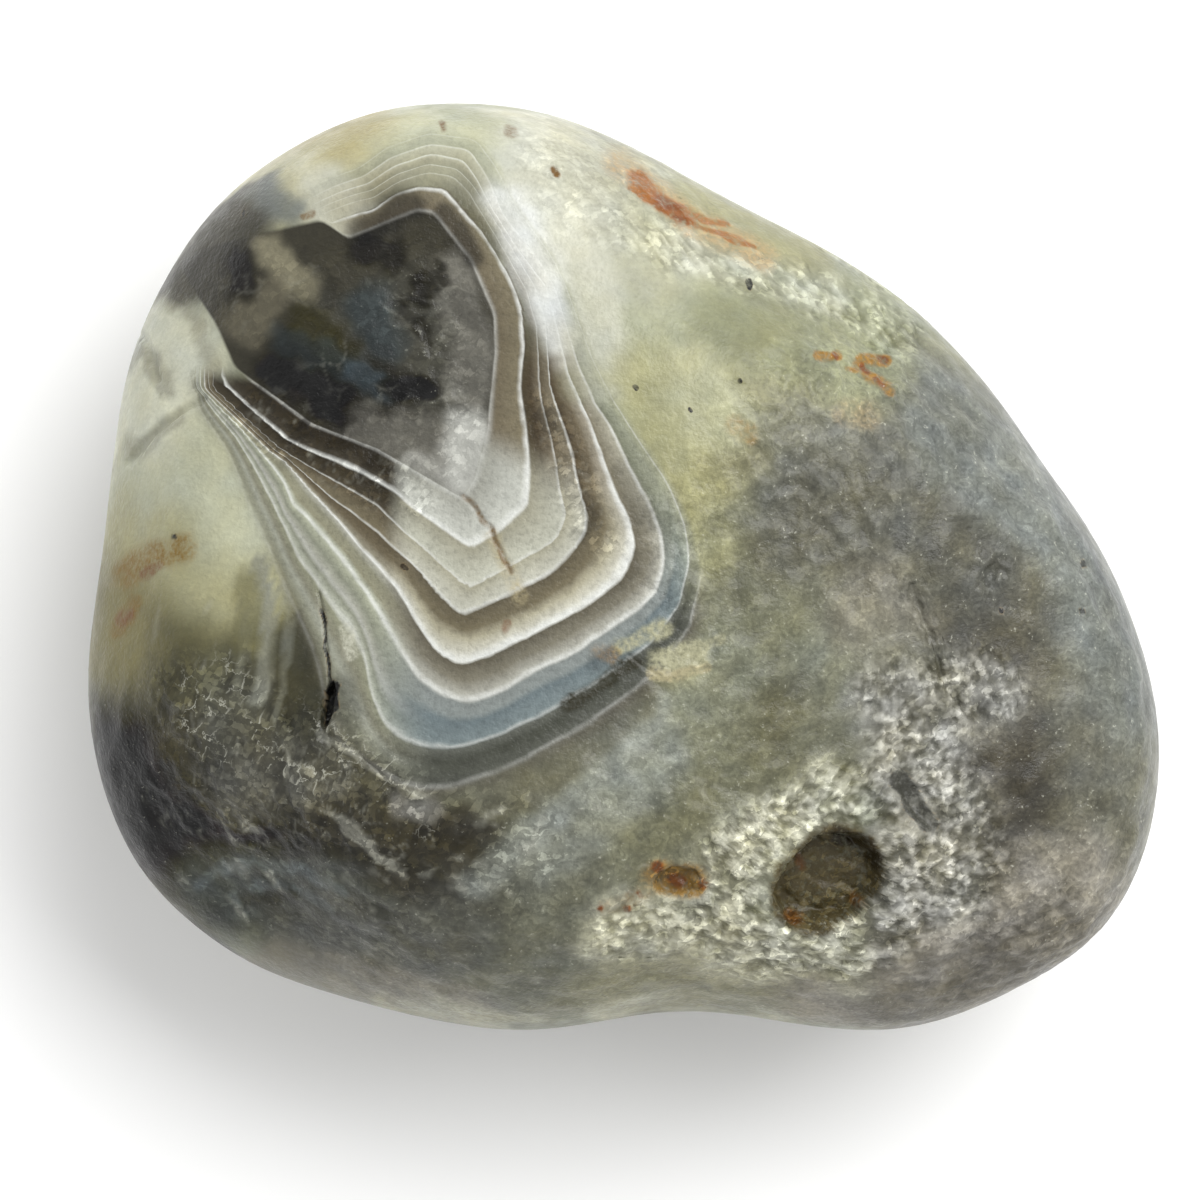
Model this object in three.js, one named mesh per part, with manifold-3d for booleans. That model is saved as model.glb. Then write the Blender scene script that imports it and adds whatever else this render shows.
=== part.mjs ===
// A semi-tumbled agate pebble: one stone with worn facets, shallow dents and open pits.
// Millimetres, +Z up. +X runs to the right and +Y away from the viewer when the banded face
// is looked down on. The origin lies on the flat that the stone rests on, under the middle of its box.
import * as THREE from "three";
import { mergeVertices } from "three/addons/utils/BufferGeometryUtils.js";
import Module from "manifold-3d";

// Driving dimensions
const LENGTH = 36; // along X, at the widest line
const UNWORN_HEIGHT = 19.5; // from the resting flat to the crown, before the facets take about 2 mm
const RIM_HEIGHT = 8.6; // of the widest line above the resting flat
const BASE_WEAR = 0.8; // ground off the underside to leave the resting flat
const TOP_FULLNESS = 0.78; // 1 is an ellipse, less is squarer in the shoulder
const UNDERSIDE_FULLNESS = 0.86;
const RIM_BAND = 5; // height over which the worn facets fade out towards the widest line
const SURFACE_DETAIL = 16; // divisions of each icosahedron edge, less one
const PIT_DETAIL = 4;
const WELD = 1e-4; // vertices nearer than this are one

// The widest line seen from above, as shares of half the length from the middle of the box
const RIM = [
  [1.0, -0.37],
  [0.957, -0.56],
  [0.845, -0.71],
  [0.675, -0.806],
  [0.5, -0.858],
  [0.3, -0.845],
  [0.146, -0.826],
  [0.0, -0.843],
  [-0.153, -0.866],
  [-0.308, -0.85],
  [-0.47, -0.812],
  [-0.64, -0.762],
  [-0.797, -0.668],
  [-0.92, -0.531],
  [-0.985, -0.36],
  [-1.0, -0.177],
  [-0.973, 0.0],
  [-0.95, 0.167],
  [-0.928, 0.338],
  [-0.875, 0.506],
  [-0.775, 0.65],
  [-0.642, 0.766],
  [-0.484, 0.839],
  [-0.314, 0.866],
  [-0.149, 0.845],
  [0.0, 0.787],
  [0.24, 0.66],
  [0.456, 0.542],
  [0.642, 0.37],
  [0.811, 0.143],
  [0.903, 0.0],
  [0.97, -0.17],
];

// Broad facets that tumbling wore on the stone: the way each faces, and how far it lies from
// the middle of the rim
const FACETS = [
  { name: "banded face", faces: [-0.17, 0.11, 0.98], at: 9.1, softness: 1.0 },
  { name: "grey shoulder", faces: [0.3, -0.08, 0.95], at: 9.8, softness: 1.2 },
  { name: "smoky flank", faces: [-0.52, -0.6, 0.61], at: 15.4, softness: 1.0 },
  { name: "near flank", faces: [0.1, -0.86, 0.5], at: 14.9, softness: 0.8 },
  { name: "crusted flank", faces: [0.5, 0.66, 0.56], at: 11.9, softness: 0.8 },
  { name: "cream flank", faces: [-0.88, 0.2, 0.43], at: 16.3, softness: 0.9 },
  { name: "under left", faces: [-0.55, 0.2, -0.81], at: 12.2, softness: 1.0 },
  { name: "under right", faces: [0.5, 0.12, -0.86], at: 12.0, softness: 1.0 },
  { name: "under near", faces: [0.06, -0.6, -0.8], at: 12.0, softness: 1.0 },
];

// Shallow dents (positive depth) and swellings (negative), each by a point near the surface
const DENTS = [
  { name: "fold under the crust", at: [2.2, 9.6, 15.5], reach: 2.6, depth: 0.45 },
  { name: "saddle above the near edge", at: [2.6, -14.0, 11.0], reach: 2.2, depth: 0.35 },
  { name: "hollow by the large pit", at: [9.4, -5.2, 17.6], reach: 3.0, depth: 0.3 },
  { name: "groove on the shoulder", at: [10.7, -3.2, 17.5], reach: 0.9, depth: 0.25 },
  { name: "hollow of the smoky flank", at: [-12.2, -9.8, 14.2], reach: 3.0, depth: 0.35 },
  { name: "crest beside the bands", at: [-1.6, 8.4, 17.8], reach: 2.4, depth: -0.35 },
  { name: "swelling of the near shoulder", at: [8.6, -13.4, 11.0], reach: 3.2, depth: -0.3 },
  { name: "swelling of the cream flank", at: [-15.0, 4.0, 12.0], reach: 3.4, depth: -0.3 },
  { name: "dent under the left end", at: [-11.0, -3.0, 2.5], reach: 4.0, depth: 0.5 },
  { name: "dent under the far side", at: [3.0, 9.0, 2.5], reach: 3.6, depth: 0.45 },
];

// Open pits, by their place from above, their two half widths, their depth and their turn in degrees
const PITS = [
  { name: "large pit", at: [6.78, -10.43], half: [2.05, 1.65], depth: 1.3, turn: 35 },
  { name: "small pit", at: [1.65, -10.37], half: [1.05, 0.65], depth: 0.4, turn: 10 },
  { name: "slot", at: [-9.75, -4.53], half: [0.26, 0.85], depth: 0.55, turn: -12 },
  { name: "lens", at: [9.72, -7.77], half: [0.52, 1.38], depth: 0.22, turn: 34 },
  { name: "pit under the right end", at: [11.2, -6.4], half: [1.5, 1.1], depth: 0.7, turn: 60, under: true },
  { name: "pit under the far side", at: [-8.4, 9.2], half: [1.0, 0.8], depth: 0.45, turn: 20, under: true },
];
const PIT_LUMPS = [
  { share: 0.07, along: [5, 3, 0] },
  { share: 0.05, along: [0, 7, -4] },
];

// Slow swell over the whole surface, as waves along three directions
const SWELL = {
  depth: 0.04,
  length: 7.5,
  waves: [
    { along: [1.0, 0.6, 0.0], phase: 0.7 },
    { along: [-0.5, 0.8, 0.4], phase: 2.1 },
    { along: [0.3, 0.0, 1.2], phase: 4.2 },
  ],
};

const wasm = await Module();
wasm.setup();

// A closed geometry as a solid, by its positions alone
function solidOf(geometry) {
  const bare = new THREE.BufferGeometry();
  bare.setAttribute("position", geometry.getAttribute("position"));
  if (geometry.index) bare.setIndex(geometry.index);
  const merged = mergeVertices(bare, WELD);
  return new wasm.Manifold(
    new wasm.Mesh({
      numProp: 3,
      vertProperties: new Float32Array(merged.getAttribute("position").array),
      triVerts: new Uint32Array(merged.index.array),
    }),
  );
}

function geometryOf(solid) {
  const { vertProperties, triVerts } = solid.getMesh();
  const geometry = new THREE.BufferGeometry();
  geometry.setAttribute("position", new THREE.BufferAttribute(vertProperties, 3));
  geometry.setIndex(new THREE.BufferAttribute(triVerts, 1));
  geometry.computeVertexNormals();
  return geometry;
}

// The rim's distance from the middle, by its angle from +X
const RIM_STEPS = 720;
const rimCurve = new THREE.CatmullRomCurve3(
  RIM.map(([x, y]) => new THREE.Vector3(x, y, 0).multiplyScalar(LENGTH / 2)),
  true,
);
const rimByAngle = rimCurve
  .getPoints(RIM_STEPS)
  .map((p) => ({ angle: Math.atan2(p.y, p.x), radius: Math.hypot(p.x, p.y) }))
  .sort((a, b) => a.angle - b.angle);

function rimRadius(angle) {
  const next = rimByAngle.findIndex((p) => p.angle >= angle);
  const after = rimByAngle[Math.max(next, 0)];
  const before = rimByAngle.at(next <= 0 ? -1 : next - 1);
  const turn = 2 * Math.PI;
  const span = (after.angle - before.angle + turn) % turn || turn;
  const share = ((angle - before.angle + turn) % turn) / span;
  return THREE.MathUtils.lerp(before.radius, after.radius, share);
}

// The rounded pebble before wear, for a direction from the middle of the rim
function pebblePoint(direction) {
  const up = direction.z >= 0;
  const fullness = up ? TOP_FULLNESS : UNDERSIDE_FULLNESS;
  const rise = up ? UNWORN_HEIGHT - RIM_HEIGHT : RIM_HEIGHT + BASE_WEAR;
  const level = Math.hypot(direction.x, direction.y);
  const angle = Math.atan2(direction.y, direction.x);
  const reach = rimRadius(angle) * level ** fullness;
  const height = Math.sign(direction.z) * rise * Math.abs(direction.z) ** fullness;
  return new THREE.Vector3(reach * Math.cos(angle), reach * Math.sin(angle), height);
}

// Grinds a point back to a facet, with a soft edge, and leaves the widest line as it is
function wear(point, { faces, at, softness }) {
  const normal = new THREE.Vector3(...faces).normalize();
  const proud = (point.dot(normal) - at) / softness;
  const ground = softness * Math.log1p(Math.exp(proud));
  const clearOfRim = THREE.MathUtils.smoothstep(Math.abs(point.z), 0, RIM_BAND);
  point.addScaledVector(normal, -ground * clearOfRim);
}

function dent(point, { at, reach, depth }) {
  const centre = new THREE.Vector3(at[0], at[1], at[2] - RIM_HEIGHT);
  const share = point.distanceToSquared(centre) / reach ** 2;
  point.addScaledVector(centre.normalize(), -depth * Math.exp(-share));
}

function undulate(point) {
  const pace = (2 * Math.PI) / SWELL.length;
  const outward = point.clone().normalize();
  const heights = SWELL.waves.map(({ along, phase }) => {
    return SWELL.depth * Math.sin(pace * point.dot(new THREE.Vector3(...along)) + phase);
  });
  heights.forEach((height) => point.addScaledVector(outward, height));
}

// The worn pebble, cut off flat where it rests
function pebble() {
  const geometry = new THREE.IcosahedronGeometry(1, SURFACE_DETAIL);
  const positions = geometry.getAttribute("position");
  const point = new THREE.Vector3();
  for (let i = 0; i < positions.count; i++) {
    point.copy(pebblePoint(point.fromBufferAttribute(positions, i).normalize()));
    FACETS.forEach((facet) => wear(point, facet));
    DENTS.forEach((hollow) => dent(point, hollow));
    undulate(point);
    positions.setXYZ(i, point.x, point.y, point.z + RIM_HEIGHT);
  }
  const room = new THREE.BoxGeometry(2 * LENGTH, 2 * LENGTH, 2 * LENGTH);
  room.translate(0, 0, LENGTH);
  return solidOf(geometry).intersect(solidOf(room));
}

// Where an upright line meets a surface from above or from below, and the way the surface faces there
function surfaceAt(geometry, { at, under = false }) {
  const start = new THREE.Vector3(...at, under ? -LENGTH : 2 * LENGTH);
  const along = new THREE.Vector3(0, 0, under ? 1 : -1);
  const [hit] = new THREE.Raycaster(start, along).intersectObject(new THREE.Mesh(geometry));
  return { point: hit.point, normal: hit.face.normal };
}

// A rounded hollow with a slightly lumpy wall, its mouth on the surface
function pit(surface, { half, depth, turn }) {
  const geometry = new THREE.IcosahedronGeometry(1, PIT_DETAIL);
  const positions = geometry.getAttribute("position");
  const point = new THREE.Vector3();
  for (let i = 0; i < positions.count; i++) {
    point.fromBufferAttribute(positions, i);
    const lump = PIT_LUMPS.reduce((size, { share, along }) => {
      return size + share * Math.sin(point.dot(new THREE.Vector3(...along)));
    }, 1);
    positions.setXYZ(i, point.x * lump, point.y * lump, point.z);
  }
  geometry.scale(half[0], half[1], depth);
  geometry.rotateZ(THREE.MathUtils.degToRad(turn));
  const upright = new THREE.Vector3(0, 0, 1);
  geometry.applyQuaternion(new THREE.Quaternion().setFromUnitVectors(upright, surface.normal));
  geometry.translate(...surface.point);
  return solidOf(geometry);
}

function agateGeometry() {
  const whole = pebble();
  const skin = geometryOf(whole);
  const pitted = PITS.reduce((stone, hollow) => {
    return stone.subtract(pit(surfaceAt(skin, hollow), hollow));
  }, whole);
  return geometryOf(pitted);
}

const agate = new THREE.Mesh(
  agateGeometry(),
  new THREE.MeshStandardMaterial({ color: 0x8d8d80, roughness: 0.45, metalness: 0 }),
);
agate.name = "agate";

const stone = new THREE.Group();
stone.add(agate);

export default stone;
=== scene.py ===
import math

import bpy
import numpy as np
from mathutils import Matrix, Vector, noise
from mathutils.bvhtree import BVHTree


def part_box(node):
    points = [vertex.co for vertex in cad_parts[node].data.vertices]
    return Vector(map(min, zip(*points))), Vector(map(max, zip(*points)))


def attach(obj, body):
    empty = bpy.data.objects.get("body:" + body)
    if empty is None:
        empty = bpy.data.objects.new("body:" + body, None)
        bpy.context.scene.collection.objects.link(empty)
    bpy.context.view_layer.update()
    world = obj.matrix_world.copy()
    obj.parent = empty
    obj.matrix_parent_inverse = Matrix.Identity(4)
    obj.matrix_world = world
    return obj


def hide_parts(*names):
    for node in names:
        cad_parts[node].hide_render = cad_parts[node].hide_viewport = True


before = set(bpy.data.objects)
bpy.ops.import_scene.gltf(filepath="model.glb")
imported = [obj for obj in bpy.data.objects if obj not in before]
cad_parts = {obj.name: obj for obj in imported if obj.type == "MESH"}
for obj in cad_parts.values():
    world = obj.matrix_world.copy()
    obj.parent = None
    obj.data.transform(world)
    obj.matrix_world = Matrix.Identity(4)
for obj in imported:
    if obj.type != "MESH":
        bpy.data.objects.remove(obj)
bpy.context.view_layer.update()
mm = 0.001  # metres in a millimetre
noiseSeed = 7  # without one, noise_vector shifts anew in each run
noise.seed_set(noiseSeed)

# Where the picture's pixels lie on the stone, seen straight down
photoView = {
    "side": 1200,  # px, width and height of the picture
    "perMm": 30.0,  # px to a millimetre at the stone's widest line
    "origin": (624.5, 567.0),  # px, where the part's origin shows
    "rimHeight": 8.6,  # mm, the widest line above the floor
    "cameraHeight": 500.0,  # mm
    "sensor": 36.0,  # mm, of the camera
}


def cameraPlace():
    half = photoView["side"] / 2
    x = (half - photoView["origin"][0]) / photoView["perMm"]
    y = (photoView["origin"][1] - half) / photoView["perMm"]
    return x, y


def toPixels(points):  # points in mm, as the camera sees them
    half = photoView["side"] / 2
    cameraX, cameraY = cameraPlace()
    reach = photoView["cameraHeight"] - photoView["rimHeight"]
    scale = photoView["perMm"] * reach / (photoView["cameraHeight"] - points[:, 2])
    return half + (points[:, 0] - cameraX) * scale, half - (points[:, 1] - cameraY) * scale


def smoothStep(low, high, value):
    share = np.clip((value - low) / (high - low), 0.0, 1.0)
    return share * share * (3.0 - 2.0 * share)


# Studio: pale floor, a bright wall of light all round, darker overhead where the camera is, one soft lamp
studio = {
    "floorSide": 4.0,  # m
    "floorDrop": 0.00005,  # m, keeps the floor clear of the stone's flat
    "floorColour": (0.96, 0.96, 0.955),
    "sky": [(0.0, 0.4), (0.35, 0.85), (0.6, 1.2), (0.8, 0.8), (1.0, 0.2)],  # height of the look, brightness
    "keyLamp": {"at": (0.3, 0.34, 0.55), "side": 0.6, "watts": 6.0},
}


def plainMaterial(name, colour, roughness):
    material = bpy.data.materials.new(name)
    material.use_nodes = True
    shader = material.node_tree.nodes["Principled BSDF"]
    shader.inputs["Base Color"].default_value = (*colour, 1.0)
    shader.inputs["Roughness"].default_value = roughness
    return material


def setStudio():
    bpy.ops.object.select_all(action="DESELECT")
    bpy.ops.mesh.primitive_plane_add(size=studio["floorSide"], location=(0, 0, -studio["floorDrop"]))
    floor = bpy.context.object
    floor.name = "paleFloor"
    floor.data.materials.append(plainMaterial("palePaper", studio["floorColour"], 0.9))
    world = bpy.data.worlds.new("softSky")
    world.use_nodes = True
    tree = world.node_tree
    look = addNode(tree, "ShaderNodeTexCoord", {}).outputs["Generated"]
    height = addNode(tree, "ShaderNodeSeparateXYZ", {"Vector": look}).outputs["Z"]
    bright = stopRamp(tree, height, [(at, (value, value, value, 1.0)) for at, value in studio["sky"]])
    feed(tree, tree.nodes["Background"].inputs["Color"], bright)
    world.cycles.sampling_method = "NONE"  # the sky has no small bright spot to look for
    bpy.context.scene.world = world
    lamp = studio["keyLamp"]
    bpy.ops.object.light_add(type="AREA", location=lamp["at"])
    light = bpy.context.object
    light.name = "keyLamp"
    light.data.size = lamp["side"]
    light.data.energy = lamp["watts"]
    light.rotation_euler = Vector(lamp["at"]).to_track_quat("Z", "Y").to_euler()
    print("studio set")


def setCamera():
    x, y = cameraPlace()
    bpy.ops.object.camera_add(location=(x * mm, y * mm, photoView["cameraHeight"] * mm))
    camera = bpy.context.object
    camera.name = "photoCamera"
    camera.data.sensor_width = photoView["sensor"]
    width = photoView["side"] / photoView["perMm"]
    reach = photoView["cameraHeight"] - photoView["rimHeight"]
    camera.data.lens = photoView["sensor"] * reach / width
    camera.data.clip_start = 0.01
    camera.data.clip_end = 20.0
    bpy.context.scene.camera = camera
    bpy.context.scene.view_settings.view_transform = "Standard"
    print("camera set, lens", round(camera.data.lens, 1), "mm")


# Agate: a blank that follows the CAD solid, with its pits and cracks cut fine
agateForm = {
    "node": "agate",
    "facesAlongEdge": 42,  # of the cube that the blank starts as
    "crowdTop": 1.5,  # above 1 gives the upper half more of the faces
    "fullness": 0.8,  # 1 is an ellipsoid, less is squarer in the shoulder
    "facetPasses": 22,  # smoothing that takes out the CAD's flat triangles
    "fillPasses": 260,  # smoothing that closes the CAD's pits before they are cut fine
    "fillMargin": 1.35,  # times a pit's own half width
}

# mm, as in the solid: place, half widths, depth, turn; steep is the share of the width that is wall
agatePits = {
    "largePit": {"at": (6.78, -10.43), "half": (2.0, 1.62), "depth": 1.25, "turn": 35, "steep": 0.22},
    "smallPit": {"at": (1.65, -10.37), "half": (1.0, 0.62), "depth": 0.4, "turn": 10, "steep": 0.5},
    "slot": {"at": (-9.75, -4.53), "half": (0.22, 0.82), "depth": 0.7, "turn": -12, "steep": 0.35},
    "lens": {"at": (9.72, -7.77), "half": (0.5, 1.36), "depth": 0.2, "turn": 34, "steep": 0.5},
    "rightUnderPit": {
        "at": (11.2, -6.4), "half": (1.45, 1.05), "depth": 0.65, "turn": 60, "steep": 0.4, "under": True,
    },
    "farUnderPit": {
        "at": (-8.4, 9.2), "half": (0.95, 0.75), "depth": 0.42, "turn": 20, "steep": 0.45, "under": True,
    },
}


def onlySelect(piece):
    bpy.ops.object.select_all(action="DESELECT")
    piece.select_set(True)
    bpy.context.view_layer.objects.active = piece


def applyModifier(piece, kind, **settings):
    onlySelect(piece)
    modifier = piece.modifiers.new(kind.title(), kind)
    for name, value in settings.items():
        setattr(modifier, name, value)
    bpy.ops.object.modifier_apply(modifier=modifier.name)


def readPoints(piece):  # mm
    points = np.empty(len(piece.data.vertices) * 3)
    piece.data.vertices.foreach_get("co", points)
    return points.reshape(-1, 3) / mm


def writePoints(piece, points):
    piece.data.vertices.foreach_set("co", (points * mm).ravel())
    piece.data.update()


def readNormals(piece):
    normals = np.empty(len(piece.data.vertices) * 3)
    piece.data.vertex_normals.foreach_get("vector", normals)
    return normals.reshape(-1, 3)


def rimOutline(node):  # the solid's half width from the middle, by angle
    tree = BVHTree.FromObject(node, bpy.context.evaluated_depsgraph_get())
    middle = Vector((0, 0, photoView["rimHeight"] * mm))
    angles = np.radians(np.arange(-180, 181, 1.0))
    reach = [tree.ray_cast(middle, Vector((math.cos(a), math.sin(a), 0)))[3] / mm for a in angles]
    return angles, np.array(reach)


def blankStone(node):
    bpy.ops.object.select_all(action="DESELECT")
    bpy.ops.mesh.primitive_cube_add(size=2, location=(0, 0, 0))
    stone = bpy.context.object
    stone.name = "bandedAgate"
    bpy.ops.object.mode_set(mode="EDIT")
    bpy.ops.mesh.subdivide(number_cuts=agateForm["facesAlongEdge"] - 1)
    bpy.ops.object.mode_set(mode="OBJECT")
    applyModifier(stone, "CAST", cast_type="SPHERE", factor=1.0)
    ball = readPoints(stone)
    ball /= np.linalg.norm(ball, axis=1)[:, None]
    polar = np.pi * (np.arccos(np.clip(ball[:, 2], -1, 1)) / np.pi) ** agateForm["crowdTop"]
    angle = np.arctan2(ball[:, 1], ball[:, 0])
    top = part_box(agateForm["node"])[1].z / mm
    rim = photoView["rimHeight"]
    level = np.cos(polar)
    reach = np.interp(angle, *rimOutline(node)) * np.sin(polar) ** agateForm["fullness"]
    rise = np.where(level > 0, top - rim, rim) * np.sign(level) * np.abs(level) ** agateForm["fullness"]
    writePoints(stone, np.column_stack([reach * np.cos(angle), reach * np.sin(angle), rim + rise]))
    applyModifier(stone, "SHRINKWRAP", target=node, wrap_method="NEAREST_SURFACEPOINT")
    print("blank wrapped on the solid:", len(stone.data.polygons), "faces")
    return stone


def pitFrame(stone, pit):  # place, two directions along the skin and one out of it
    tree = BVHTree.FromObject(stone, bpy.context.evaluated_depsgraph_get())
    under = pit.get("under", False)
    start = Vector((pit["at"][0] * mm, pit["at"][1] * mm, -0.1 if under else 0.1))
    place = tree.ray_cast(start, Vector((0, 0, 1 if under else -1)))[0]
    points = readPoints(stone)
    centre = np.array(place) / mm
    near = np.linalg.norm(points - centre, axis=1) < 1.2 * max(pit["half"])
    out = readNormals(stone)[near].mean(axis=0)
    out /= np.linalg.norm(out)
    turn = math.radians(pit["turn"])
    along = np.array([math.cos(turn), math.sin(turn), 0.0])
    along -= out * along.dot(out)
    along /= np.linalg.norm(along)
    return centre, along, np.cross(out, along), out


def pitShare(points, frameOf, pit):  # 0 in the middle of a pit, 1 on its edge
    centre, along, across, out = frameOf
    away = points - centre
    share = np.hypot(away @ along / pit["half"][0], away @ across / pit["half"][1])
    share[np.abs(away @ out) > 2.5] = 99.0  # not the far side of the stone
    return share


def fillPits(stone):
    points = readPoints(stone)
    group = stone.vertex_groups.new(name="pitFill")
    for pit in agatePits.values():
        inside = pitShare(points, pitFrame(stone, pit), pit) < agateForm["fillMargin"]
        group.add(np.flatnonzero(inside).tolist(), 1.0, "REPLACE")
    applyModifier(stone, "SMOOTH", factor=0.6, iterations=agateForm["fillPasses"], vertex_group="pitFill")
    stone.vertex_groups.clear()


def splitFaces(stone, chosen):  # chosen says which points' faces are cut finer
    onlySelect(stone)
    mesh = stone.data
    marked = chosen(readPoints(stone))
    corners = np.empty(len(mesh.loops), np.int32)
    mesh.loops.foreach_get("vertex_index", corners)
    starts = np.empty(len(mesh.polygons), np.int32)
    mesh.polygons.foreach_get("loop_start", starts)
    faces = np.logical_or.reduceat(marked[corners], starts)
    bpy.context.tool_settings.mesh_select_mode = (False, False, True)
    bpy.ops.object.mode_set(mode="EDIT")
    bpy.ops.mesh.select_all(action="DESELECT")
    bpy.ops.object.mode_set(mode="OBJECT")
    mesh.polygons.foreach_set("select", faces)
    bpy.ops.object.mode_set(mode="EDIT")
    bpy.ops.mesh.subdivide(number_cuts=1, smoothness=0.0)
    bpy.ops.object.mode_set(mode="OBJECT")


def nearPits(stone):  # tells which points lie in or close round a pit
    frames = {name: pitFrame(stone, pit) for name, pit in agatePits.items()}

    def near(points):
        shares = [pitShare(points, frames[name], pit) for name, pit in agatePits.items()]
        return np.min(shares, axis=0) < 1.25

    return near


def digPits(stone):
    for pit in agatePits.values():
        frameOf = pitFrame(stone, pit)
        points = readPoints(stone)
        share = pitShare(points, frameOf, pit)
        for i in np.flatnonzero(share < 1.6):
            place = Vector(points[i] / max(pit["half"]))
            share[i] += 0.09 * noise.noise(place * 2.3) + 0.05 * noise.noise(place * 6.0)
        wall = smoothStep(1.02, 1.0 - pit["steep"], share)
        lumps = np.ones(len(points))
        for i in np.flatnonzero(share < 1.1):
            place = Vector(points[i])
            lumps[i] += 0.12 * noise.noise(place * 1.7) + 0.06 * noise.noise(place * 4.5)
        writePoints(stone, points - frameOf[3] * (pit["depth"] * wall * lumps)[:, None])
    print("pits cut:", ", ".join(agatePits))


# Cracks and creases of the upper side: half width and points px, depth mm
agateCracks = {
    "slotCrack": {"half": 3.0, "depth": 0.1, "points": [(319, 592), (326, 634), (330, 682)]},
    "brownFissure": {
        "half": 2.5, "depth": 0.05,
        "points": [(464, 496), (478, 513), (491, 527), (494, 541), (503, 552), (510, 572)],
    },
    "crossCrack": {"half": 2.5, "depth": 0.04, "points": [(592, 414), (604, 406), (619, 393)]},
    "knotCrack": {"half": 2.5, "depth": 0.05, "points": [(660, 676), (646, 668), (628, 655)]},
    "leftCrease": {"half": 6.0, "depth": 0.12, "points": [(143, 336), (153, 356), (158, 380)]},
    "pinchCrease": {"half": 6.0, "depth": 0.14, "points": [(128, 462), (153, 434), (180, 413), (204, 398)]},
    "shoulderGroove": {
        "half": 7.0, "depth": 0.16,
        "points": [(912, 586), (922, 612), (932, 642), (944, 676), (964, 712)],
    },
    "shoulderHole": {"half": 9.0, "depth": 0.16, "points": [(993, 566), (989, 584)]},
    "rimGroove": {"half": 3.0, "depth": 0.05, "points": [(320, 738), (356, 752), (384, 776)]},
}


def strokeDistance(px, py, points):
    spots = np.array(points, float)
    nearest = np.hypot(px - spots[0, 0], py - spots[0, 1])
    for start, end in zip(spots[:-1], spots[1:]):
        step = end - start
        share = ((px - start[0]) * step[0] + (py - start[1]) * step[1]) / step.dot(step)
        share = np.clip(share, 0.0, 1.0)
        away = np.hypot(px - start[0] - share * step[0], py - start[1] - share * step[1])
        nearest = np.minimum(nearest, away)
    return nearest


def crackDistance(points, crack):  # px from the crack's line, far away on the underside
    away = strokeDistance(*toPixels(points), crack["points"])
    return np.where(points[:, 2] > 0.6 * photoView["rimHeight"], away, 999.0)


def nearCracks(points):
    gaps = [crackDistance(points, crack) - crack["half"] for crack in agateCracks.values()]
    return np.min(gaps, axis=0) < 4.0


def cutCracks(stone):
    for crack in agateCracks.values():
        points = readPoints(stone)
        share = crackDistance(points, crack) / crack["half"]
        for i in np.flatnonzero(share < 2.0):
            share[i] *= 1.0 + 0.5 * noise.noise(Vector(points[i]) * 2.6)
        depth = crack["depth"] * smoothStep(1.0, 0.1, share)
        writePoints(stone, points - readNormals(stone) * depth[:, None])
    print("cracks cut:", ", ".join(agateCracks))


# Fortification bands: lines round the core from the inside out, px; each line is one level of the pattern
agateBands = {
    "centre": (400, 390),
    "closest": 4.0,  # px, the least gap between two lines
    "beyond": 45.0,  # px to a level outside the last line
    "lines": {
        "coreEdge": [
            (215, 323), (234, 367), (313, 424), (378, 449), (462, 498), (474, 480), (487, 432),
            (495, 353), (494, 315), (471, 261), (434, 213), (418, 210), (348, 238), (321, 219),
            (212, 244), (178, 262), (190, 285), (215, 323),
        ],
        "firstWhite": [
            (221, 382), (286, 439), (394, 490), (471, 548), (502, 527), (528, 503), (529, 470),
            (521, 388), (525, 345), (522, 307), (513, 282), (479, 228), (445, 189), (418, 187),
            (396, 194), (372, 211),
        ],
        "innerThin": [
            (212, 388), (279, 449), (378, 506), (468, 589), (556, 539), (566, 513), (542, 399),
            (537, 325), (527, 290), (470, 192), (454, 176), (428, 172), (399, 181), (373, 198),
        ],
        "outerThin": [
            (211, 390), (334, 500), (378, 531), (461, 613), (550, 571), (585, 534), (587, 513),
            (550, 386), (545, 317), (535, 286), (474, 186), (458, 169), (429, 164), (397, 174),
            (371, 191),
        ],
        "broadWhite": [
            (210, 392), (289, 465), (366, 552), (400, 595), (433, 648), (447, 660), (464, 662),
            (494, 654), (604, 597), (623, 576), (635, 545), (628, 516), (568, 373), (548, 288),
            (495, 221), (480, 184), (464, 160), (430, 154), (394, 166), (368, 184),
        ],
        "secondWhite": [
            (208, 395), (240, 427), (283, 480), (292, 502), (350, 565), (418, 679), (438, 694),
            (464, 699), (502, 689), (579, 651), (635, 613), (654, 592), (663, 562), (660, 534),
            (640, 485), (612, 429), (594, 404), (577, 363), (556, 290), (540, 262), (503, 215),
            (488, 178), (470, 150), (430, 144), (390, 158), (363, 177),
        ],
        "blueEdge": [
            (205, 400), (236, 437), (272, 500), (298, 560), (353, 625), (366, 658), (373, 698),
            (389, 729), (415, 745), (451, 747), (494, 735), (543, 715), (599, 682), (650, 642),
            (679, 606), (690, 562), (685, 525), (667, 483), (612, 400), (592, 360), (566, 285),
            (551, 255), (513, 203), (497, 168), (476, 140), (430, 133), (385, 149), (358, 169),
        ],
        "darkEdge": [
            (200, 410), (228, 450), (312, 650), (336, 739), (392, 779), (418, 788), (446, 787),
            (523, 757), (612, 707), (650, 674), (690, 625), (704, 567), (699, 520), (680, 478),
            (624, 395), (603, 355), (559, 250), (521, 198), (505, 158), (481, 128), (430, 120),
            (380, 139), (351, 160),
        ],
    },
}


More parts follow.
